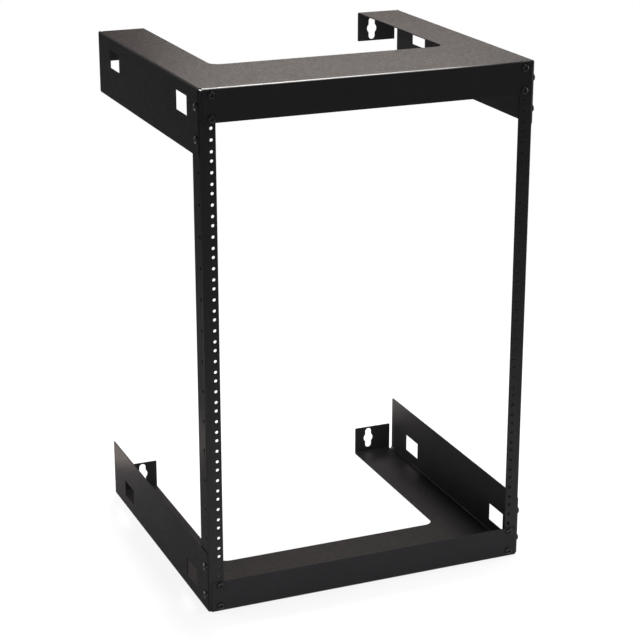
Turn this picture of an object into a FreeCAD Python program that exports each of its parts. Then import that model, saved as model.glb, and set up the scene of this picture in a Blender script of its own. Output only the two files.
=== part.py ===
import FreeCAD, Part
import math
import os

# A wall mount open frame rack: two folded steel panels, top and bottom, joined at the
# front by two drilled angle rails, with screws through the panels' flanges into the
# rails' tapped holes. Two wall tabs on each panel carry it on a wall.
# Frame: +X to the right seen from the front, +Y towards the wall, +Z up. The origin is
# on the floor plane, under the middle of the overall box. Lengths are in millimetres.

# Overall size, over the sheet
height = 762.0
width = 500.0
depth = 457.2

# Panel sheet
panel_sheet = 1.5
panel_bend = 1.5

# Panel web, a U seen from above
arm_width = 71.0
strip_depth = 147.3
throat_radius = 15.0

# Panel flanges: how far two of them reach past their last screw hole, and the tabs'
# height over the web's outer face
front_flange_past_hole = 5.725
side_flange_past_hole = 22.55
tab_height = 46.5
side_flange_corner = 3.0
small_corner = 1.5

# Corner reliefs, so that neighbouring folds don't tear
front_relief_radius = 2.0
tab_relief_width = 3.5

# Cable windows in the side flanges
window_length = 46.0
window_height = 27.6
window_centre_height = 32.0
window_from_front = 72.5
window_from_back = 79.8
window_corner = 1.0

# Double-ended keyholes in the wall tabs, which this inset sets on 406.4 stud centres
keyhole_from_side = 46.8
keyhole_centre_height = 26.7
keyhole_circle = 16.5
keyhole_slot = 10.8
keyhole_length = 34.6

# Rails: the rack unit's height, its outer holes from the unit's ends with the third one
# midway, and the columns' inset, which sets them 465.1 apart
rack_pitch = 44.45
hole_from_unit_end = 6.35
column_from_side = 17.45
rail_sheet = 2.66
rail_bend = 1.34
rail_front_leg = 22.1
rail_side_leg = 31.75
side_hole_from_front = 10.5
tapped_bore = 5.2

# Screws, number 12 pan head
head_diameter = 10.7
head_height = 3.6
head_side_height = 1.8
head_flat_diameter = 3.6
shank_length = 9.5
thread_clearance = 0.1
panel_hole_clearance = 0.9

# Places that follow from the sizes above
fold = panel_bend + panel_sheet
front_y = (head_height - depth) / 2
back_y = front_y + depth
half_width = width / 2
column_x = half_width - column_from_side
keyhole_x = half_width - keyhole_from_side
unit_count = int(height // rack_pitch)
rail_length = unit_count * rack_pitch
rail_bottom = (height - rail_length) / 2
rail_outer_x = half_width - panel_sheet
rail_front_y = front_y + panel_sheet
low_hole = hole_from_unit_end
middle_hole = rack_pitch / 2
high_hole = rack_pitch - hole_from_unit_end
front_flange_height = rail_bottom + high_hole + front_flange_past_hole
side_flange_height = rail_bottom + rack_pitch + middle_hole + side_flange_past_hole
side_hole_y = front_y + side_hole_from_front
screw_shank = tapped_bore - 2 * thread_clearance
panel_hole = tapped_bore + panel_hole_clearance
same_place = 1e-6

X = FreeCAD.Vector(1, 0, 0)
Y = FreeCAD.Vector(0, 1, 0)
Z = FreeCAD.Vector(0, 0, 1)


def vec(x, y, z):
    return FreeCAD.Vector(x, y, z)


def corner_arc(centre, start, end):
    """Quarter arc about a centre between two points of a circle."""
    middle = (start + end) * 0.5 - centre
    middle.normalize()
    return Part.Arc(start, centre + middle * (start - centre).Length, end).toShape()


def rounded_outline(points, radii):
    """Closed wire through the points, each corner rounded by its own radius."""
    count = len(points)
    starts = []
    ends = []
    for i in range(count):
        before = points[i - 1] - points[i]
        after = points[(i + 1) % count] - points[i]
        before.normalize()
        after.normalize()
        starts.append(points[i] + before * radii[i])
        ends.append(points[i] + after * radii[i])
    edges = []
    for i in range(count):
        if radii[i] > 0:
            centre = starts[i] + ends[i] - points[i]
            edges.append(corner_arc(centre, starts[i], ends[i]))
        following = starts[(i + 1) % count]
        if (following - ends[i]).Length > same_place:
            edges.append(Part.LineSegment(ends[i], following).toShape())
    return Part.Wire(edges)


def plate(wire, thickness):
    """Solid sheet from a closed wire and a thickness vector."""
    return Part.Face(wire).extrude(thickness)


def cylinder(start, direction, diameter, length):
    return Part.makeCylinder(diameter / 2, length, start, direction)


def unit_levels(rise):
    """Heights of one hole of every rack unit, from the bottom unit up."""
    return [rail_bottom + unit * rack_pitch + rise for unit in range(unit_count)]


def folded_flange(leg_height, place, run):
    """Flange and its bend: u is counted inwards from the outer face, z up from the web's."""
    inner_start = place(panel_sheet, fold)
    inner_end = place(fold, panel_sheet)
    outer_start = place(fold, 0)
    outer_end = place(0, fold)
    centre = place(fold, fold)
    outer_top = place(0, leg_height)
    inner_top = place(panel_sheet, leg_height)
    edges = [
        corner_arc(centre, outer_start, outer_end),
        Part.LineSegment(outer_end, outer_top).toShape(),
        Part.LineSegment(outer_top, inner_top).toShape(),
        Part.LineSegment(inner_top, inner_start).toShape(),
        corner_arc(centre, inner_start, inner_end),
        Part.LineSegment(inner_end, outer_start).toShape(),
    ]
    return plate(Part.Wire(edges), run)


def round_free_corners(flange, run, radius, leg_height):
    """Rounds the two corners of a flange's free edge, seen across its sheet."""
    corners = []
    for edge in flange.Edges:
        start = edge.Vertexes[0].Point
        end = edge.Vertexes[-1].Point
        along = abs((end - start).dot(run))
        level = abs(end.z - start.z) < same_place
        across = along < same_place and level
        at_top = abs(start.z - leg_height) < same_place
        if across and at_top:
            corners.append(edge)
    return flange.makeFillet(radius, corners)


def panel_web():
    """U-shaped web up to the bend lines, with rounded throat corners."""
    right = half_width - fold
    inner = half_width - arm_width
    front = front_y + fold
    back = back_y - fold
    throat = front_y + strip_depth
    points = [
        vec(-right, front, 0),
        vec(right, front, 0),
        vec(right, back, 0),
        vec(inner, back, 0),
        vec(inner, throat, 0),
        vec(-inner, throat, 0),
        vec(-inner, back, 0),
        vec(-right, back, 0),
    ]
    radii = [0, 0, 0, 0, throat_radius, throat_radius, 0, 0]
    return plate(rounded_outline(points, radii), Z * panel_sheet)


def front_flange():
    """Front flange between the two corner reliefs."""
    end = half_width - fold - front_relief_radius
    run = X * (2 * end)
    leg = folded_flange(front_flange_height, lambda u, z: vec(-end, front_y + u, z), run)
    return round_free_corners(leg, run, small_corner, front_flange_height)


def side_flange(side):
    """Side flange from the front relief to the wall plane."""
    start = front_y + fold + front_relief_radius
    run = Y * (back_y - start)
    leg = folded_flange(side_flange_height, lambda u, z: vec(side * (half_width - u), start, z), run)
    return round_free_corners(leg, run, side_flange_corner, side_flange_height)


def wall_tab(side):
    """Wall tab at the back of one arm, clear of the side flange by the relief."""
    near = half_width - arm_width
    far = half_width - fold - tab_relief_width
    start = near if side > 0 else -far
    run = X * (far - near)
    leg = folded_flange(tab_height, lambda u, z: vec(start, back_y - u, z), run)
    return round_free_corners(leg, run, small_corner, tab_height)


def relief_cuts(side):
    """Round ends of the reliefs, where two bend lines meet."""
    corner_x = side * (half_width - fold)
    slot_x = side * (half_width - fold - tab_relief_width / 2)
    front = cylinder(vec(corner_x, front_y + fold, -fold), Z, 2 * front_relief_radius, 3 * fold)
    back = cylinder(vec(slot_x, back_y - fold, -fold), Z, tab_relief_width, 3 * fold)
    return [front, back]


def window_cuts(side):
    """Two cable windows through one side flange."""
    cuts = []
    x = side * (half_width + panel_sheet)
    low = window_centre_height - window_height / 2
    high = window_centre_height + window_height / 2
    for centre in (front_y + window_from_front, back_y - window_from_back):
        near = centre - window_length / 2
        far = centre + window_length / 2
        points = [vec(x, near, low), vec(x, far, low), vec(x, far, high), vec(x, near, high)]
        outline = rounded_outline(points, [window_corner] * 4)
        cuts.append(plate(outline, X * (-side * 3 * panel_sheet)))
    return cuts


def keyhole_cut(side):
    """Keyhole through one wall tab: a round hole with a slot above and below it."""
    x = side * keyhole_x
    y = back_y - 2 * panel_sheet
    through = Y * (3 * panel_sheet)
    half_slot = keyhole_slot / 2
    low = keyhole_centre_height - keyhole_length / 2
    high = keyhole_centre_height + keyhole_length / 2
    points = [
        vec(x - half_slot, y, low),
        vec(x + half_slot, y, low),
        vec(x + half_slot, y, high),
        vec(x - half_slot, y, high),
    ]
    circle = cylinder(vec(x, y, keyhole_centre_height), Y, keyhole_circle, through.Length)
    slot = plate(rounded_outline(points, [half_slot] * 4), through)
    return circle.fuse(slot)


def front_screw_levels():
    """Lowest and highest hole of the bottom rack unit."""
    return [unit_levels(low_hole)[0], unit_levels(high_hole)[0]]


def side_screw_levels():
    """Middle of the two lowest rack units."""
    return unit_levels(middle_hole)[:2]


def flange_holes(side):
    """Clearance holes for the screws at one front corner."""
    cuts = []
    for level in front_screw_levels():
        start = vec(side * column_x, front_y - panel_sheet, level)
        cuts.append(cylinder(start, Y, panel_hole, 3 * panel_sheet))
    for level in side_screw_levels():
        start = vec(side * (half_width + panel_sheet), side_hole_y, level)
        cuts.append(cylinder(start, X * -side, panel_hole, 3 * panel_sheet))
    return cuts


def bottom_panel():
    """Bottom panel, folded up from one blank."""
    body = panel_web().fuse([
        front_flange(),
        side_flange(-1),
        side_flange(1),
        wall_tab(-1),
        wall_tab(1),
    ])
    cuts = []
    for side in (-1, 1):
        cuts += relief_cuts(side) + window_cuts(side) + flange_holes(side)
        cuts.append(keyhole_cut(side))
    return body.cut(cuts).removeSplitter()


def turned_over(shape):
    """Same shape turned half a turn about the front-to-back axis, for the top."""
    copy = shape.copy()
    copy.rotate(vec(0, 0, height / 2), Y, 180)
    return copy


def rail_blank(side):
    """Rail angle as folded, before its holes."""
    outer = rail_bend + rail_sheet
    x = side * rail_outer_x
    y = rail_front_y
    z = rail_bottom
    inner_x = x - side * rail_front_leg
    back = y + rail_side_leg
    centre = vec(x - side * outer, y + outer, z)
    front_tangent = vec(x - side * outer, y, z)
    side_tangent = vec(x, y + outer, z)
    inner_front = vec(x - side * outer, y + rail_sheet, z)
    inner_side = vec(x - side * rail_sheet, y + outer, z)
    front_tip = vec(inner_x, y, z)
    front_tip_back = vec(inner_x, y + rail_sheet, z)
    side_tip = vec(x, back, z)
    side_tip_inner = vec(x - side * rail_sheet, back, z)
    edges = [
        corner_arc(centre, front_tangent, side_tangent),
        Part.LineSegment(side_tangent, side_tip).toShape(),
        Part.LineSegment(side_tip, side_tip_inner).toShape(),
        Part.LineSegment(side_tip_inner, inner_side).toShape(),
        corner_arc(centre, inner_side, inner_front),
        Part.LineSegment(inner_front, front_tip_back).toShape(),
        Part.LineSegment(front_tip_back, front_tip).toShape(),
        Part.LineSegment(front_tip, front_tangent).toShape(),
    ]
    return plate(Part.Wire(edges), Z * rail_length)


def rail(side):
    """Rail with its tapped rack holes in front and one tapped hole a unit in its side."""
    bores = []
    for rise in (low_hole, middle_hole, high_hole):
        for level in unit_levels(rise):
            start = vec(side * column_x, rail_front_y - rail_sheet, level)
            bores.append(cylinder(start, Y, tapped_bore, 3 * rail_sheet))
    for level in unit_levels(middle_hole):
        start = vec(side * (rail_outer_x + rail_sheet), side_hole_y, level)
        bores.append(cylinder(start, X * -side, tapped_bore, 3 * rail_sheet))
    return rail_blank(side).cut(bores)


def screw(seat, inward):
    """Pan head screw with the underside of its head at seat, driven inward."""
    radius = head_diameter / 2
    flat = head_flat_diameter / 2
    shank = screw_shank / 2
    rise = head_height - head_side_height
    shoulder = ((radius - flat) ** 2 + rise ** 2) / (2 * rise)
    sweep = math.asin((radius - flat) / shoulder) / 2
    crown_x = flat + shoulder * math.sin(sweep)
    crown_z = head_height - shoulder * (1 - math.cos(sweep))
    crown = vec(crown_x, 0, crown_z)
    profile = [
        Part.LineSegment(vec(0, 0, head_height), vec(flat, 0, head_height)).toShape(),
        Part.Arc(vec(flat, 0, head_height), crown, vec(radius, 0, head_side_height)).toShape(),
        Part.LineSegment(vec(radius, 0, head_side_height), vec(radius, 0, 0)).toShape(),
        Part.LineSegment(vec(radius, 0, 0), vec(shank, 0, 0)).toShape(),
        Part.LineSegment(vec(shank, 0, 0), vec(shank, 0, -shank_length)).toShape(),
        Part.LineSegment(vec(shank, 0, -shank_length), vec(0, 0, -shank_length)).toShape(),
        Part.LineSegment(vec(0, 0, -shank_length), vec(0, 0, head_height)).toShape(),
    ]
    body = Part.Face(Part.Wire(profile)).revolve(vec(0, 0, 0), Z, 360)
    turn = FreeCAD.Rotation(Z, inward * -1)
    body.Placement = FreeCAD.Placement(seat, turn)
    return body


def front_screws():
    """Screws through the bottom panel's front flange."""
    screws = []
    for side in (-1, 1):
        for level in front_screw_levels():
            screws.append(screw(vec(side * column_x, front_y, level), Y))
    return Part.makeCompound(screws)


def side_screws():
    """Screws through the bottom panel's side flanges."""
    screws = []
    for side in (-1, 1):
        for level in side_screw_levels():
            screws.append(screw(vec(side * half_width, side_hole_y, level), X * -side))
    return Part.makeCompound(screws)


def main():
    panel = bottom_panel()
    nodes = {
        "bottom_panel": panel,
        "top_panel": turned_over(panel),
        "left_rail": rail(-1),
        "right_rail": rail(1),
        "bottom_front_screws": front_screws(),
        "bottom_side_screws": side_screws(),
        "top_front_screws": turned_over(front_screws()),
        "top_side_screws": turned_over(side_screws()),
    }
    os.makedirs("parts", exist_ok=True)
    for name, shape in nodes.items():
        shape.exportStep("parts/" + name + ".step")
        print(name, "solids", len(shape.Solids), "volume", round(shape.Volume, 1), "valid", shape.isValid())


main()
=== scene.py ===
import math

import bpy
import numpy as np
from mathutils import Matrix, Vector
from mathutils.geometry import delaunay_2d_cdt


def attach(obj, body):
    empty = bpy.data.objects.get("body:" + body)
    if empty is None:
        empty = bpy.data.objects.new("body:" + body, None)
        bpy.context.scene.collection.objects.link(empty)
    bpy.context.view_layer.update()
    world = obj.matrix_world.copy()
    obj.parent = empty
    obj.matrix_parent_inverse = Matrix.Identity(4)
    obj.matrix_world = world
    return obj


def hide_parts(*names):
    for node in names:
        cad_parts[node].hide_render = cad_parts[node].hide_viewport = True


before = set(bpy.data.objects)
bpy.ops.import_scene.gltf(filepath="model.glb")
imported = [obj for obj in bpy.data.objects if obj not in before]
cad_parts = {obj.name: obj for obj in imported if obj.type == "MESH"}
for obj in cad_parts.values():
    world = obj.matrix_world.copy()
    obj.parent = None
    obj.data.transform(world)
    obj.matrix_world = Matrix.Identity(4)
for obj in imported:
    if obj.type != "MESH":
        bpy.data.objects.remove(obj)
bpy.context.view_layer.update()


# The studio: a pale floor that runs out to white, lamps overhead and behind that the rack's
# top reflects, broad ones in front and to the sides, two small ones at its lower back corners
# and a narrow one in its opening. The camera stands to the left, 19 degrees up, with a long lens.
VIEW_FROM = Vector((-1.048, -2.540, 1.280))
VIEW_AZIMUTH = math.radians(-22.75)
VIEW_ELEVATION = math.radians(18.89)
VIEW_LENS = 107.0


def add_node(tree, kind, inputs=(), **settings):
    """Shader node with its settings; inputs are (socket, value or output socket)."""
    node = tree.nodes.new(kind)
    for key, value in settings.items():
        setattr(node, key, value)
    for socket, value in inputs:
        if isinstance(value, bpy.types.NodeSocket):
            tree.links.new(value, node.inputs[socket])
        else:
            node.inputs[socket].default_value = value
    return node


def combined(tree, operation, *values):
    """Result of a math node for its values in their order."""
    return add_node(tree, "ShaderNodeMath", enumerate(values), operation=operation).outputs[0]


def ranged(tree, value, low, high, start=0.0, stop=1.0, **settings):
    """Runs from low to high while the value runs from start to stop, and stays there."""
    return add_node(tree, "ShaderNodeMapRange", [
        ("Value", value), ("From Min", start), ("From Max", stop),
        ("To Min", low), ("To Max", high)], **settings).outputs[0]


def empty_material(name):
    """New material with no nodes yet, and its node tree."""
    material = bpy.data.materials.new(name)
    material.use_nodes = True
    material.node_tree.nodes.clear()
    return material, material.node_tree


def add_object(name, data):
    """New object in the scene."""
    thing = bpy.data.objects.new(name, data)
    bpy.context.scene.collection.objects.link(thing)
    return thing


def seen_rays(tree):
    """1 for rays from the camera, from a reflection or through glass, else 0."""
    path = add_node(tree, "ShaderNodeLightPath").outputs
    seen = combined(tree, "MAXIMUM", path["Is Camera Ray"], path["Is Glossy Ray"])
    return combined(tree, "MAXIMUM", seen, path["Is Transmission Ray"])


def soft_lamp(name, place, aim, size, power, tint=(1.0, 1.0, 1.0)):
    """Rectangular soft lamp that faces its aim: metres, watts and colour."""
    data = bpy.data.lights.new(name, "AREA")
    data.shape = "RECTANGLE"
    data.size, data.size_y = size
    data.energy = power
    data.color = tint
    lamp = add_object(name, data)
    lamp.location = place
    lamp.rotation_mode = "QUATERNION"
    lamp.rotation_quaternion = (Vector(aim) - Vector(place)).to_track_quat("-Z", "Y")
    lamp.visible_camera = False


camera_data = bpy.data.cameras.new("camera")
camera_data.lens = VIEW_LENS
camera = add_object("camera", camera_data)
view_back = Vector((math.sin(VIEW_AZIMUTH) * math.cos(VIEW_ELEVATION),
                    -math.cos(VIEW_AZIMUTH) * math.cos(VIEW_ELEVATION),
                    math.sin(VIEW_ELEVATION)))
camera.location = VIEW_FROM
camera.rotation_mode = "QUATERNION"
camera.rotation_quaternion = (-view_back).to_track_quat("-Z", "Y")
bpy.context.scene.camera = camera
bpy.context.scene.view_settings.view_transform = "Standard"

soft_lamp("overhead_lamp", (0.79, 0.0, 2.25), (0.79, -0.1, 0.76), (0.92, 1.0), 33.0)
soft_lamp("rear_lamp", (0.85, 1.75, 1.75), (0.0, 0.0, 0.76), (1.0, 0.8), 88.0, (1.0, 0.92, 0.86))
soft_lamp("warm_rear_lamp", (0.55, 1.70, 1.0), (0.0, 0.1, 0.76), (1.2, 0.2), 2.0, (1.0, 0.5, 0.35))
soft_lamp("front_lamp", (-0.3, -3.0, 0.6), (0.0, 0.0, 0.3), (2.2, 1.2), 15.0)
soft_lamp("low_front_lamp", (-0.1, -0.6, 0.05), (-0.1, -0.2, 0.0), (1.3, 0.08), 3.2)
soft_lamp("left_lamp", (-0.75, 0.30, 0.15), (-0.25, 0.2, 0.05), (0.5, 0.2), 4.0)
soft_lamp("left_corner_lamp", (-0.33, 0.33, 0.03), (-0.25, 0.2, 0.06), (0.12, 0.06), 0.35,
          (1.0, 0.85, 0.76))
soft_lamp("right_corner_lamp", (0.17, 0.40, 0.03), (0.25, 0.2, 0.09), (0.12, 0.08), 0.5,
          (1.0, 0.9, 0.86))
soft_lamp("inside_lamp", (0.0, 0.07, 0.40), (0.0, 0.23, 0.40), (0.08, 0.62), 2.6)
soft_lamp("right_lamp", (2.5, 0.5, 0.9), (0.25, 0.0, 0.4), (1.6, 1.6), 48.0)

WHITE = (1.0, 1.0, 1.0, 1.0)
FILL_GREY = (0.35, 0.35, 0.36, 1.0)
FLOOR_GREY = (0.86, 0.86, 0.86, 1.0)
FLOOR_HALF, FLOOR_LEVEL = 14.0, -0.0003
GLOW_LEAST, GLOW_START, GLOW_FULL = 0.84, 0.5, 1.6

world = bpy.data.worlds.new("studio")
bpy.context.scene.world = world
world.use_nodes = True
world.node_tree.nodes.clear()
tree = world.node_tree
fill = add_node(tree, "ShaderNodeBackground", [("Color", FILL_GREY)])
white = add_node(tree, "ShaderNodeBackground", [("Color", WHITE)])
mixed = add_node(tree, "ShaderNodeMixShader", [
    (0, seen_rays(tree)), (1, fill.outputs[0]), (2, white.outputs[0])])
add_node(tree, "ShaderNodeOutputWorld", [(0, mixed.outputs[0])])

# The floor: matt pale grey, which to seen rays turns into white more and more outwards.
floor_mesh = bpy.data.meshes.new("floor")
corners = np.array([(-1, -1), (1, -1), (1, 1), (-1, 1)]) * FLOOR_HALF
floor_mesh.from_pydata(
    np.column_stack([corners, np.full(4, FLOOR_LEVEL)]).tolist(), [], [(0, 1, 2, 3)])
floor = add_object("floor", floor_mesh)
floor_coat, tree = empty_material("pale_floor")
where = add_node(tree, "ShaderNodeTexCoord").outputs["Object"]
away = add_node(tree, "ShaderNodeVectorMath", [(0, where)], operation="LENGTH").outputs["Value"]
glowing = ranged(
    tree, away, GLOW_LEAST, 1.0, GLOW_START, GLOW_FULL, interpolation_type="SMOOTHSTEP")
glow_share = combined(tree, "MULTIPLY", glowing, seen_rays(tree))
matt = add_node(tree, "ShaderNodeBsdfDiffuse", [("Color", FLOOR_GREY)])
glow = add_node(tree, "ShaderNodeEmission", [("Color", WHITE)])
mixed = add_node(tree, "ShaderNodeMixShader", [
    (0, glow_share), (1, matt.outputs[0]), (2, glow.outputs[0])])
add_node(tree, "ShaderNodeOutputMaterial", [(0, mixed.outputs[0])])
floor_mesh.materials.append(floor_coat)


# Bottom panel: one blank of 1.5 mm sheet steel, cut with its cable windows, keyholes and
# corner reliefs, then folded up on five lines: front flange, two side flanges and two wall
# tabs. Black powder coat, which flows out smoother over the folds and the cut edges.
HEIGHT, WIDTH, DEPTH = 762.0, 500.0, 457.2
FRONT = -226.8
BACK = FRONT + DEPTH
SHEET = 1.5
FOLD = 3.0
FOLD_RUN = math.pi / 2 * (FOLD - SHEET / 2)
FOLD_STEPS = 9
EDGE_RADIUS = 0.25
RIM = 0.4
ARM, STRIP, THROAT = 71.0, 147.3, 15.0
FRONT_FLANGE, SIDE_FLANGE, TAB = 47.0, 92.4, 46.5
FRONT_RELIEF, TAB_RELIEF = 2.0, 3.5
CORNER, SIDE_CORNER, WINDOW_CORNER = 1.5, 3.0, 1.0
WINDOW = (27.6, 46.0)
WINDOW_LEVEL = 32.0
WINDOW_PLACES = (FRONT + 72.5, BACK - 79.8)
KEYHOLE_PLACE = (203.2, 26.7)
KEYHOLE_CIRCLE, KEYHOLE_SLOT, KEYHOLE_LENGTH = 16.5, 10.8, 34.6
COLUMN = 232.55
UNIT = 44.45
END_HOLE = 6.35
RAIL_BOTTOM = 3.175
FRONT_SCREW_LEVELS = (RAIL_BOTTOM + END_HOLE, RAIL_BOTTOM + UNIT - END_HOLE)
SIDE_SCREW_LEVELS = (RAIL_BOTTOM + UNIT / 2, RAIL_BOTTOM + UNIT * 1.5)
SIDE_SCREW_PLACE = FRONT + 10.5
SCREW_HOLE = 6.1
SAME_POINT, MEET_LIMIT = 1e-4, 1e-5


def arc(centre, radius, start, stop, steps=6, hollow=False, stops=()):
    """Arc as rows (u, v, outward u, outward v); outward points away from the sheet's metal,
    so it is along the radius on a corner and against it round a hole or notch."""
    even = np.linspace(start, stop, steps + 1)
    angles = np.unique(np.concatenate([even, np.asarray(stops, float)]))
    angles = np.radians(angles if stop > start else angles[::-1])
    way = np.stack([np.cos(angles), np.sin(angles)], axis=1)
    return np.hstack([np.asarray(centre) + radius * way, -way if hollow else way])


def run(us, vs, outward):
    """Straight stretch of an outline as rows (u, v, outward u, outward v)."""
    us, vs = np.broadcast_arrays(np.asarray(us, float), np.asarray(vs, float))
    return np.column_stack([us.ravel(), vs.ravel(), np.tile(outward, (us.size, 1))])


def outline(*stretches):
    """Closed outline from its stretches, without the points that two of them share."""
    points = np.concatenate(stretches)
    step = np.linalg.norm(points[:, :2] - np.roll(points[:, :2], 1, axis=0), axis=1)
    return points[step > SAME_POINT]


def mirrored(points):
    """The same stretch on the other side of u = 0, run through backwards."""
    return points[::-1] * np.array([-1.0, 1.0, -1.0, 1.0])


def round_hole(centre, radius, steps=36):
    """Round hole, run through clockwise so that the metal stays on its left."""
    return outline(arc(centre, radius, 360, 360 / steps, steps - 1, hollow=True))


def window(centre, size):
    """Oblong hole with rounded corners, run through clockwise."""
    u, v = centre
    a, b = size[0] / 2 - WINDOW_CORNER, size[1] / 2 - WINDOW_CORNER
    return outline(
        arc((u + a, v - b), WINDOW_CORNER, 0, -90, 4, hollow=True),
        arc((u - a, v - b), WINDOW_CORNER, -90, -180, 4, hollow=True),
        arc((u - a, v + b), WINDOW_CORNER, 180, 90, 4, hollow=True),
        arc((u + a, v + b), WINDOW_CORNER, 90, 0, 4, hollow=True))


def keyhole(centre):
    """Round hole with a round-ended slot above and below it, run through clockwise. Where
    slot and circle meet, the outward way is that of the two edges' mitre."""
    u, v = centre
    big, half, reach = KEYHOLE_CIRCLE / 2, KEYHOLE_SLOT / 2, (KEYHOLE_LENGTH - KEYHOLE_SLOT) / 2
    meet = math.degrees(math.asin(half / big))
    rise = big * math.cos(math.radians(meet))
    mitre = rise / big / (1 + half / big)
    corner = run(u + half, v - rise, (-1.0, mitre))
    lower = [arc((u, v), big, 0, -90 + meet, 8, hollow=True)[:-1], corner,
             arc((u, v - reach), half, 0, -180, 16, hollow=True),
             run(u - half, v - rise, (1.0, mitre)),
             arc((u, v), big, -90 - meet, -180, 8, hollow=True)[1:]]
    upper = [arc((u, v), big, 180, 90 + meet, 8, hollow=True)[:-1],
             run(u - half, v + rise, (1.0, -mitre)),
             arc((u, v + reach), half, 180, 0, 16, hollow=True),
             run(u + half, v + rise, (-1.0, -mitre)),
             arc((u, v), big, 90 - meet, 0, 8, hollow=True)[1:]]
    return outline(*lower, *upper)


def inside(points, loops):
    """True where a point lies in the metal: a ray from it crosses the outlines an odd
    number of times."""
    starts = np.concatenate(loops)
    ends = np.concatenate([np.roll(loop, -1, axis=0) for loop in loops])
    x, y = points[:, :1], points[:, 1:]
    crosses = (starts[:, 1] > y) != (ends[:, 1] > y)
    rise = ends[:, 1] - starts[:, 1]
    slope = (ends[:, 0] - starts[:, 0]) / np.where(rise == 0, 1.0, rise)
    return (crosses & (x < starts[:, 0] + slope * (y - starts[:, 1]))).sum(axis=1) % 2 == 1


def edge_profile(thickness):
    """Cut edge from face to face as (inset, depth): a rim that stays flat, a rounded
    corner, the plain cut, and the same again."""
    turn = EDGE_RADIUS * (1 - math.sqrt(0.5))
    return np.array([(EDGE_RADIUS + RIM, 0), (EDGE_RADIUS, 0), (turn, turn), (0, EDGE_RADIUS),
                     (0, thickness - EDGE_RADIUS), (turn, thickness - turn),
                     (EDGE_RADIUS, thickness), (EDGE_RADIUS + RIM, thickness)])


def plain_edge(points, thickness):
    """Every point of an outline carried through the edge profile: an inset and a depth for
    each ring and point."""
    profile = edge_profile(thickness)
    return (np.repeat(profile[:, :1], len(points), axis=1),
            np.repeat(profile[:, 1:], len(points), axis=1))


def sheet_piece(name, loops, rows, thickness, place, finish, walls=None, flip=False):
    """A cut and folded sheet. Each outline is swept through its edge profile, the faces
    between the outlines are Delaunay triangles that keep the fold's rows, and place turns
    blank u, v and depth into x, y, z. finish gives what the coat does there, by name."""
    walls = walls or [plain_edge(loop, thickness) for loop in loops]
    blanks, depths, quads, first, last, rims, offset = [], [], [], [], [], [], 0
    for loop, (inset, depth) in zip(loops, walls):
        rings, count = inset.shape
        blanks.append((loop[None, :, :2] - inset[..., None] * loop[None, :, 2:]).reshape(-1, 2))
        depths.append(depth.ravel())
        index = offset + np.arange(rings * count).reshape(rings, count)
        after = np.roll(index, -1, axis=1)
        quads.append(np.stack(
            [index[:-1], after[:-1], after[1:], index[1:]], axis=-1).reshape(-1, 4))
        first.append(index[0])
        last.append(index[-1])
        rims.append(blanks[-1][:count])
        offset += rings * count
    blank, depth = np.concatenate(blanks), np.concatenate(depths)
    first, last = np.concatenate(first), np.concatenate(last)
    flat = np.concatenate(rims)
    starts = np.cumsum([0] + [len(rim) for rim in rims[:-1]])
    circuits = [start + np.arange(len(rim)) for start, rim in zip(starts, rims)]
    border = np.concatenate([
        np.stack([circuit, np.roll(circuit, -1)], axis=1) for circuit in circuits])
    edges = border.tolist() + rows(flat)
    found = delaunay_2d_cdt([Vector(p) for p in flat.tolist()], edges, [], 0, MEET_LIMIT)
    source = np.array([ids[0] for ids in found[3]])
    triangles = source[np.array(found[2])]
    triangles = triangles[inside(flat[triangles].mean(axis=1), rims)]
    faces = np.concatenate(quads).tolist()
    faces += last[triangles].tolist() + first[triangles[:, ::-1]].tolist()
    if flip:
        faces = [face[::-1] for face in faces]
    mesh = bpy.data.meshes.new(name)
    mesh.from_pydata((place(blank[:, 0], blank[:, 1], depth) / 1000).tolist(), [], faces)
    mesh.shade_smooth()
    for title, values in finish(blank[:, 0], blank[:, 1], depth).items():
        layer = mesh.attributes.new(title, "FLOAT", "POINT")
        layer.data.foreach_set("value", values.astype(np.float32))
    return add_object(name, mesh)


def folded(distance, depth, radius, length):
    """One fold in numbers: with a = 90 degrees times the distance's share of the fold's
    length, a point goes radius * sin a across and rises by radius * (1 - cos a), and past
    the fold it rises straight."""
    angle = np.clip(distance / length, 0, 1) * math.pi / 2
    inner = radius - depth
    rise = radius - inner * np.cos(angle) + np.clip(distance - length, 0, None)
    return inner * np.sin(angle), rise


web_right = WIDTH / 2 - FOLD
web_front, web_back = FRONT + FOLD, BACK - FOLD
flange_end = web_right - FRONT_RELIEF
tab_far, tab_near = web_right - TAB_RELIEF, WIDTH / 2 - ARM
all_rows = np.concatenate([
    [-RIM], np.linspace(0, FOLD_RUN, FOLD_STEPS), [FOLD_RUN + RIM]])


def panel_distances(u, v):
    """How far a blank point lies past each fold line: side, front and wall tab."""
    side = np.clip(np.abs(u) - web_right, 0, None)
    front = np.clip(web_front - v, 0, None)
    tab = np.where(np.abs(u) < web_right, np.clip(v - web_back, 0, None), 0)
    return side, front, tab


def panel_place(u, v, depth):
    """Blank to folded panel: each distance past a fold line becomes that fold's reach
    across and its rise."""
    side, front, tab = panel_distances(u, v)
    side_across, side_rise = folded(side, depth, FOLD, FOLD_RUN)
    front_across, front_rise = folded(front, depth, FOLD, FOLD_RUN)
    tab_across, tab_rise = folded(tab, depth, FOLD, FOLD_RUN)
    x = np.sign(u) * (np.minimum(np.abs(u), web_right) + side_across)
    y = np.where(front > 0, web_front - front_across, np.where(tab > 0, web_back + tab_across, v))
    z = side_rise + front_rise + tab_rise - 2 * depth
    return np.stack([x, y, z], axis=1)


FLAT_FLOW, FOLD_FLOW, OUTER_LESS = 0.09, 0.6, 0.25
# The next three numbers shape a painted highlight on the outside of the front fold: its middle
# strength, its slope along the fold and its pace across it.
HIGHLIGHT_MIDDLE, HIGHLIGHT_SLOPE, HIGHLIGHT_PACE = 0.725, 0.275, 1.3


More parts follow.
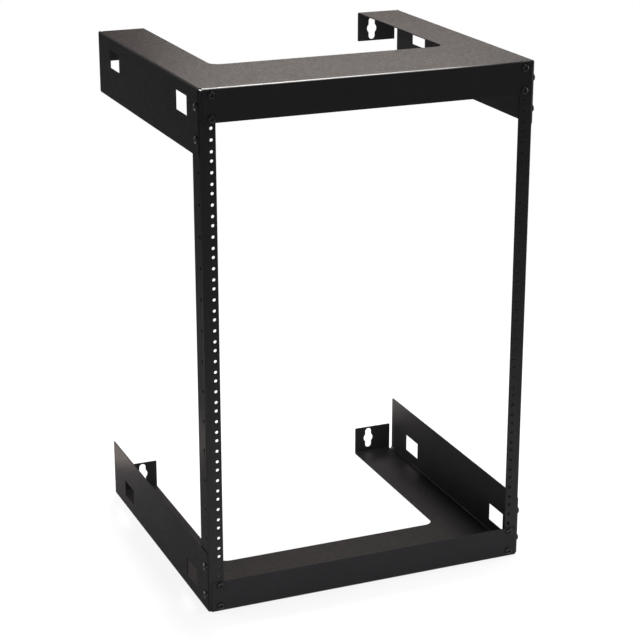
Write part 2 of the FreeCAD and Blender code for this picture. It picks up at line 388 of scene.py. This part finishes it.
def panel_finish(u, v, depth):
    """flow: how much clear coat lies there. It is the same on all that is flat, and on a
    fold it grows with the square of the sine of the way across, less on the outside. The
    second value is a painted highlight, not wear: how much bright steel shows on the
    outside of the front fold, the sine of 1.3 times the way across, and evenly more
    towards one end of the fold."""
    side, front, tab = panel_distances(u, v)
    across = np.sin(np.clip((side + front + tab) / FOLD_RUN, 0, 1) * math.pi) ** 2
    outside = 1 - depth / SHEET
    # Painted highlight: bright steel along the outside of the front fold, evenly stronger towards
    # one end.
    along = HIGHLIGHT_MIDDLE + HIGHLIGHT_SLOPE * u / web_right
    painted_highlight_amount = np.sin(np.clip(HIGHLIGHT_PACE * front / FOLD_RUN, 0, 1) * math.pi)
    return {"flow": FLAT_FLOW + across * (FOLD_FLOW - OUTER_LESS * outside),
            "bare": painted_highlight_amount * outside * along}


def nearest(coordinate, value, allowed):
    """Number of the allowed point whose coordinate is nearest to the value."""
    return int(np.argmin(np.where(allowed, np.abs(coordinate - value), np.inf)))


def panel_rows(flat):
    """Edges along the folds, each between the two outline points where its row ends. The
    margins in millimetres only keep the search to that end of the fold."""
    u, v = flat.T
    edges = []
    at_front = (v < web_front + 1.0) & (np.abs(u) > flange_end - 3)
    at_tab = v > web_back - 1.5
    for row in all_rows:
        edges.append([nearest(v, web_front - row, at_front & (u < 0)),
                      nearest(v, web_front - row, at_front & (u > 0))])
        for side in (-1, 1):
            near_side = np.abs(side * u - web_right) < 8
            edges.append([nearest(side * u, web_right + row, near_side & (v < web_front + 3)),
                          nearest(side * u, web_right + row, near_side & (v > web_back - 4))])
            edges.append([nearest(v, web_back + row, at_tab & (np.abs(side * u - tab_near) < 3)),
                          nearest(v, web_back + row, at_tab & (np.abs(side * u - tab_far) < 1.5))])
    return edges


# The reliefs get a point wherever a row of a fold ends on their rims.
wide_relief = FRONT_RELIEF + EDGE_RADIUS + RIM
wide_tab_relief = TAB_RELIEF / 2 + EDGE_RADIUS + RIM
front_turn = math.degrees(math.asin(RIM / wide_relief))
tab_turn = math.degrees(math.asin(RIM / wide_tab_relief))
side_turns = [-math.degrees(math.acos((TAB_RELIEF / 2 + row) / wide_tab_relief))
              for row in all_rows if row < EDGE_RADIUS + RIM]
front_edge = web_front - FOLD_RUN - (FRONT_FLANGE - FOLD)
side_edge = web_right + FOLD_RUN + (SIDE_FLANGE - FOLD)
tab_edge = web_back + FOLD_RUN + (TAB - FOLD)
side_start = web_front + FRONT_RELIEF
rear_rows = all_rows[all_rows > EDGE_RADIUS + RIM]
right_half = outline(
    arc((flange_end - CORNER, front_edge + CORNER), CORNER, -90, 0),
    run(flange_end, web_front - all_rows[:0:-1], (1.0, 0.0)),
    arc((web_right, web_front), FRONT_RELIEF, 180, 90, 6, True,
        (180 - front_turn, 90 + front_turn)),
    run(web_right + all_rows[1:], side_start, (0.0, -1.0)),
    arc((side_edge - SIDE_CORNER, side_start + SIDE_CORNER), SIDE_CORNER, -90, 0),
    arc((side_edge - SIDE_CORNER, BACK - SIDE_CORNER), SIDE_CORNER, 0, 90),
    run(web_right + rear_rows[::-1], BACK, (0.0, 1.0)),
    run(web_right, BACK, (-1.0, 1.0)),
    arc((web_right - TAB_RELIEF / 2, web_back), TAB_RELIEF / 2, 0, -180, 8, True,
        side_turns + [tab_turn - 180]),
    run(tab_far, web_back + all_rows[1:], (1.0, 0.0)),
    arc((tab_far - CORNER, tab_edge - CORNER), CORNER, 0, 90),
    arc((tab_near + CORNER, tab_edge - CORNER), CORNER, 90, 180),
    run(tab_near, web_back + all_rows[::-1], (-1.0, 0.0)),
    arc((tab_near - THROAT, FRONT + STRIP + THROAT), THROAT, 0, -90, 14, True))
panel_loops = [outline(right_half, mirrored(right_half))]


def on_flange(fold_line, height):
    """Place in the blank of a height on a folded side flange or tab."""
    return fold_line + FOLD_RUN + height - FOLD


for side in (-1, 1):
    for level in FRONT_SCREW_LEVELS:
        place = (side * COLUMN, web_front - FOLD_RUN - (level - FOLD))
        panel_loops.append(round_hole(place, SCREW_HOLE / 2))
    for level in SIDE_SCREW_LEVELS:
        place = (side * on_flange(web_right, level), SIDE_SCREW_PLACE)
        panel_loops.append(round_hole(place, SCREW_HOLE / 2))
    for along in WINDOW_PLACES:
        panel_loops.append(window((side * on_flange(web_right, WINDOW_LEVEL), along), WINDOW))
    place = (side * KEYHOLE_PLACE[0], on_flange(web_back, KEYHOLE_PLACE[1]))
    panel_loops.append(keyhole(place))


# The next three lines set a painted highlight: the colour, share and roughness of bright steel
# mixed into the coat along the front fold's outside, and the two distances right of the middle over
# which it fades out.
HIGHLIGHT_STEEL = (0.56, 0.55, 0.53, 1.0)
HIGHLIGHT_STEEL_SHARE, HIGHLIGHT_ROUGH = 0.36, 0.2
HIGHLIGHT_FADE_START, HIGHLIGHT_FADE_END = 0.12, 0.21
COLOUR_DRIFT = 0.12
BODY_ROUGH = (0.5, 0.72)
COAT_ROUGH, COAT_IOR = 0.34, 1.2
PEEL_DEPTH = 0.00006


def noise(tree, where, scale, detail):
    """Noise with about so many lumps to a metre."""
    return add_node(tree, "ShaderNodeTexNoise", [
        ("Vector", where), ("Scale", scale), ("Detail", detail)]).outputs["Fac"]


def blended(tree, share, first, second, **settings):
    """The second's share of two values or colours, and the rest of the first."""
    return add_node(tree, "ShaderNodeMix", [
        ("Factor", share), ("A", first), ("B", second)], **settings).outputs["Result"]


def powder_coat(name, colour):
    """Black powder coat: a matt body whose colour drifts a little, an orange-peel skin of
    two noises for the bump, and a slight clear flow whose share comes from the flow value.
    A painted highlight mixes bright steel into the body along the front fold, not wear, and
    it fades out towards the right, evenly between two distances from the middle in metres."""
    coat, tree = empty_material(name)
    where = add_node(tree, "ShaderNodeTexCoord").outputs["Object"]
    cloud = noise(tree, where, 22.0, 3.0)
    speck = noise(tree, where, 1400.0, 2.0)
    peel = noise(tree, where, 420.0, 3.0)
    mottle = noise(tree, where, 330.0, 2.0)
    dark, light = ((*[c * part for c in colour], 1.0)
                   for part in (1 - COLOUR_DRIFT, 1 + COLOUR_DRIFT))
    tone = blended(tree, cloud, dark, light, data_type="RGBA")
    # Painted highlight: the value set on the panel's front fold, faded out to the right, mixes
    # bright steel, metal and low roughness into the coat.
    painted_highlight_amount = add_node(tree, "ShaderNodeAttribute", attribute_name="bare").outputs["Fac"]
    place = add_node(tree, "ShaderNodeSeparateXYZ", [(0, where)])
    highlight_fade = ranged(tree, place.outputs["X"], 1.0, 0.0, HIGHLIGHT_FADE_START, HIGHLIGHT_FADE_END)
    bare = combined(tree, "MULTIPLY", painted_highlight_amount, highlight_fade)
    highlight_mix = combined(tree, "MULTIPLY", bare, HIGHLIGHT_STEEL_SHARE)
    body = blended(tree, highlight_mix, tone, HIGHLIGHT_STEEL, data_type="RGBA")
    body_rough = blended(tree, bare, ranged(tree, speck, *BODY_ROUGH), HIGHLIGHT_ROUGH)
    skin = combined(tree, "MULTIPLY_ADD", speck, 0.45, peel)
    bump = add_node(tree, "ShaderNodeBump", [
        ("Height", skin), ("Strength", 0.5), ("Distance", PEEL_DEPTH)]).outputs[0]
    flow = add_node(tree, "ShaderNodeAttribute", attribute_name="flow").outputs["Fac"]
    share = combined(tree, "MULTIPLY", flow, ranged(tree, mottle, 0.6, 1.4, 0.3, 0.7))
    shader = add_node(tree, "ShaderNodeBsdfPrincipled", [
        ("Base Color", body), ("Roughness", body_rough), ("Metallic", bare),
        ("Specular IOR Level", 0.0), ("Normal", bump), ("Coat Weight", share),
        ("Coat Roughness", COAT_ROUGH), ("Coat IOR", COAT_IOR), ("Coat Normal", bump)])
    add_node(tree, "ShaderNodeOutputMaterial", [(0, shader.outputs[0])])
    return coat


panel_coat = powder_coat("panel_powder_coat", (0.0125, 0.0120, 0.0128))
bottom_panel = sheet_piece(
    "bottom_panel_sheet", panel_loops, panel_rows, SHEET, panel_place, panel_finish)
bottom_panel.data.materials.append(panel_coat)
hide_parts("bottom_panel")
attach(bottom_panel, "root")


# Top panel: the same folded part turned half a turn about the front-to-back axis, so its
# flanges hang down and its web is the rack's top.
def turned_place(u, v, depth):
    """The bottom panel's place with x and height counted the other way."""
    x, y, z = panel_place(u, v, depth).T
    return np.stack([-x, y, HEIGHT - z], axis=1)


top_panel = sheet_piece(
    "top_panel_sheet", panel_loops, panel_rows, SHEET, turned_place, panel_finish)
top_panel.data.materials.append(panel_coat)
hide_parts("top_panel")
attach(top_panel, "root")


# Rails: two angles of 2.66 mm steel, mirror images, folded from strip and tapped through:
# three holes a rack unit in the front leg and one a unit in the side leg. Black powder
# coat all over, threads too.
RAIL_SHEET = 2.66
RAIL_FOLD = 4.0
RAIL_FOLD_RUN = math.pi / 2 * (RAIL_FOLD - RAIL_SHEET / 2)
RAIL_FRONT_LEG, RAIL_SIDE_LEG = 22.1, 31.75
RAIL_OUTER, RAIL_FRONT = WIDTH / 2 - SHEET, FRONT + SHEET
RAIL_UNITS = 17
THREAD_PITCH, THREAD_MEAN, THREAD_HALF_DEPTH = 1.058, 2.5, 0.22
MOUTH = 2.95
WALL_STEPS = 17
RAIL_FOLD_FLOW = 0.2
rail_inner = RAIL_OUTER - RAIL_FRONT_LEG
front_flat = RAIL_FRONT_LEG - RAIL_FOLD
rail_run = front_flat + RAIL_FOLD_RUN + RAIL_SIDE_LEG - RAIL_FOLD
rail_levels = RAIL_BOTTOM + UNIT * np.arange(RAIL_UNITS)
rail_rows = front_flat + np.concatenate([
    [-RIM], np.linspace(0, RAIL_FOLD_RUN, FOLD_STEPS), [RAIL_FOLD_RUN + RIM]])


def tapped_wall(points, turn):
    """Wall of a tapped hole: the radius is the mean one less half the thread's depth times
    the cosine of the angle plus the depth in pitches, and at both mouths no less than a 45
    degree chamfer. Insets are counted from the mouth's radius."""
    steps = np.linspace(0, RAIL_SHEET, WALL_STEPS)
    depth = np.concatenate([[0], steps, [RAIL_SHEET]])[:, None]
    angle = np.arctan2(points[:, 3], points[:, 2])[None, :]
    phase = turn * angle + 2 * math.pi * depth / THREAD_PITCH
    thread = THREAD_MEAN - THREAD_HALF_DEPTH * np.cos(phase)
    mouth = MOUTH - np.minimum(depth, RAIL_SHEET - depth)
    inset = np.maximum(thread, mouth) - MOUTH
    inset[0] = inset[-1] = RIM
    return inset, np.repeat(depth, len(points), axis=1)


def rail_side_rows(flat):
    """Edges along the rail's fold, from its lower end to its upper one."""
    u, v = flat.T
    low, high = v < RAIL_BOTTOM + 2, v > HEIGHT - RAIL_BOTTOM - 2
    return [[nearest(u, row, low), nearest(u, row, high)] for row in rail_rows]


def rail_finish(u, v, depth):
    """flow: the same on both legs, and more on the fold by the square of the sine of the
    way across it."""
    across = np.clip((u - front_flat) / RAIL_FOLD_RUN, 0, 1)
    return {"flow": FLAT_FLOW + RAIL_FOLD_FLOW * np.sin(across * math.pi) ** 2}


rail_foot, rail_head = RAIL_BOTTOM, HEIGHT - RAIL_BOTTOM
strip = outline(
    run(0.0, rail_foot, (-1.0, -1.0)),
    run(rail_rows, rail_foot, (0.0, -1.0)),
    run(rail_run, rail_foot, (1.0, -1.0)),
    run(rail_run, rail_head, (1.0, 1.0)),
    run(rail_rows[::-1], rail_head, (0.0, 1.0)),
    run(0.0, rail_head, (-1.0, 1.0)))
front_place = COLUMN - rail_inner
side_place = front_flat + RAIL_FOLD_RUN + SIDE_SCREW_PLACE - RAIL_FRONT - RAIL_FOLD
holes = [(front_place, level + rise)
         for rise in (END_HOLE, UNIT / 2, UNIT - END_HOLE) for level in rail_levels]
holes += [(side_place, level + UNIT / 2) for level in rail_levels]
tapped = [round_hole(hole, MOUTH, 20) for hole in holes]

rail_coat = powder_coat("rail_powder_coat", (0.0130, 0.0124, 0.0132))
for side, node in ((-1, "left_rail"), (1, "right_rail")):
    def rail_place(u, v, depth, side=side):
        """Strip to angle: across the front leg, round the fold, back along the side leg."""
        past = np.clip(u - front_flat, 0, None)
        across, back = folded(past, depth, RAIL_FOLD, RAIL_FOLD_RUN)
        x = side * (rail_inner + np.minimum(u, front_flat) + across)
        return np.stack([x, RAIL_FRONT + back, v], axis=1)

    walls = [plain_edge(strip, RAIL_SHEET)] + [tapped_wall(points, -side) for points in tapped]
    rail = sheet_piece(node + "_angle", [strip] + tapped, rail_side_rows, RAIL_SHEET,
                       rail_place, rail_finish, walls, flip=side > 0)
    rail.data.materials.append(rail_coat)
    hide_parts(node)
    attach(rail, "root")


# Screws: sixteen number 12 pan heads with a cross recess, black oxide steel, driven
# through the panels' flanges into the rails' tapped holes, two in front and two in the
# side at each corner.
HEAD_RADIUS, HEAD_HEIGHT, HEAD_SIDE, HEAD_FLAT = 5.35, 3.6, 1.8, 1.8
SHANK, SHANK_LENGTH = 2.5, 9.5
RECESS_REACH, RECESS_WIDTH, RECESS_DEPTH = 2.9, 1.35, 1.9
RECESS_WALL, RECESS_END = 0.24, 1.5
SCREW_THREAD = 0.17
ROUND = 64
OXIDE_DARK, OXIDE_LIGHT = (0.003, 0.003, 0.0032, 1.0), (0.007, 0.0068, 0.007, 1.0)


def smooth(value):
    """0 to 1 with a level start and end: three times the square less twice the cube."""
    value = np.clip(value, 0, 1)
    return value * value * (3 - 2 * value)


def screw_surface():
    """Screw about the z axis as rings from the head's middle to the shank's tip. The crown
    is flat in the middle and falls in an arc to the side; the cross recess lowers it where
    the smaller of |x| and |y| is under half the slot's width, fading towards the slot's
    end; the thread takes a cosine of the angle plus the depth in pitches off the shank. The
    rings lie closer together over the recess than outside it."""
    angle = np.arange(ROUND) * 2 * math.pi / ROUND
    rise = HEAD_HEIGHT - HEAD_SIDE
    crown = ((HEAD_RADIUS - HEAD_FLAT) ** 2 + rise ** 2) / (2 * rise)
    radius = np.concatenate([np.linspace(0.08, 3.1, 22), np.linspace(3.35, HEAD_RADIUS - 0.05, 9)])
    drop = crown - np.sqrt(crown ** 2 - np.clip(radius - HEAD_FLAT, 0, None) ** 2)
    x, y = radius[:, None] * np.cos(angle), radius[:, None] * np.sin(angle)
    small, large = np.minimum(np.abs(x), np.abs(y)), np.maximum(np.abs(x), np.abs(y))
    recess = (smooth((RECESS_WIDTH / 2 + RECESS_WALL / 2 - small) / RECESS_WALL)
              * smooth((RECESS_REACH - large) / RECESS_END))
    top = HEAD_HEIGHT - drop[:, None] - RECESS_DEPTH * recess
    side = np.array([(HEAD_RADIUS, HEAD_SIDE - 0.1), (HEAD_RADIUS, 0.2), (HEAD_RADIUS - 0.06, 0.06),
                     (HEAD_RADIUS - 0.2, 0.0), (SHANK + 0.1, 0.0)])
    depth = np.linspace(-0.05, -SHANK_LENGTH + 0.5, 60)
    phase = angle[None, :] + 2 * math.pi * depth[:, None] / THREAD_PITCH
    thread = SHANK - SCREW_THREAD - SCREW_THREAD * np.cos(phase)
    tip = np.array([(SHANK - 0.5, -SHANK_LENGTH + 0.25), (SHANK - 0.9, -SHANK_LENGTH)])
    radii = np.concatenate([np.repeat(radius[:, None], ROUND, 1), np.repeat(side[:, :1], ROUND, 1),
                            thread, np.repeat(tip[:, :1], ROUND, 1)])
    heights = np.concatenate([top, np.repeat(side[:, 1:], ROUND, 1),
                              np.repeat(depth[:, None], ROUND, 1), np.repeat(tip[:, 1:], ROUND, 1)])
    rings = np.stack(
        [radii * np.cos(angle), radii * np.sin(angle), heights], axis=-1).reshape(-1, 3)
    poles = np.array([(0, 0, HEAD_HEIGHT - RECESS_DEPTH), (0, 0, -SHANK_LENGTH)])
    index = np.arange(len(rings)).reshape(-1, ROUND)
    after = np.roll(index, -1, axis=1)
    quads = np.stack([index[:-1], index[1:], after[1:], after[:-1]], axis=-1).reshape(-1, 4)
    head_fan = np.stack([np.full(ROUND, len(rings)), index[0], after[0]], axis=1)
    tip_fan = np.stack([np.full(ROUND, len(rings) + 1), after[-1], index[-1]], axis=1)
    return np.concatenate([rings, poles]), quads, np.concatenate([head_fan, tip_fan])


def screw_set(name, node, seats):
    """Screws at seats (place, outward way, turn of the slot in degrees), in one mesh."""
    points, quads, fans = screw_surface()
    spots, faces = [], []
    for number, (place, outward, turn) in enumerate(seats):
        out = np.asarray(outward, float)
        across = np.cross(out, (0.0, 0.0, 1.0))
        c, s = math.cos(math.radians(turn)), math.sin(math.radians(turn))
        first = c * across + s * np.array((0.0, 0.0, 1.0))
        second = np.cross(out, first)
        spots.append(points @ np.stack([first, second, out]) + np.asarray(place))
        faces += (quads + number * len(points)).tolist() + (fans + number * len(points)).tolist()
    mesh = bpy.data.meshes.new(name)
    mesh.from_pydata((np.concatenate(spots) / 1000).tolist(), [], faces)
    mesh.shade_smooth()
    mesh.materials.append(screw_black)
    piece = add_object(name, mesh)
    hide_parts(node)
    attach(piece, "root")


screw_black, tree = empty_material("black_oxide_steel")
where = add_node(tree, "ShaderNodeTexCoord").outputs["Object"]
stain = noise(tree, where, 700.0, 4.0)
dents = add_node(tree, "ShaderNodeBump", [
    ("Height", stain), ("Strength", 0.25), ("Distance", 0.00003)])
shader = add_node(tree, "ShaderNodeBsdfPrincipled", [
    ("Base Color", blended(tree, stain, OXIDE_DARK, OXIDE_LIGHT, data_type="RGBA")),
    ("Roughness", ranged(tree, stain, 0.16, 0.3)),
    ("Specular IOR Level", 0.11), ("Normal", dents.outputs[0])])
add_node(tree, "ShaderNodeOutputMaterial", [(0, shader.outputs[0])])

turns = iter(np.random.default_rng(12).uniform(0, 90, 16))
for level_name, up in (("bottom", False), ("top", True)):
    front_levels, side_levels = (
        [HEIGHT - level if up else level for level in levels]
        for levels in (FRONT_SCREW_LEVELS, SIDE_SCREW_LEVELS))
    front_seats = [((side * COLUMN, FRONT, level), (0, -1, 0), next(turns))
                   for side in (-1, 1) for level in front_levels]
    side_seats = [((side * WIDTH / 2, SIDE_SCREW_PLACE, level), (side, 0, 0), next(turns))
                  for side in (-1, 1) for level in side_levels]
    screw_set(level_name + "_front_screw_set", level_name + "_front_screws", front_seats)
    screw_set(level_name + "_side_screw_set", level_name + "_side_screws", side_seats)
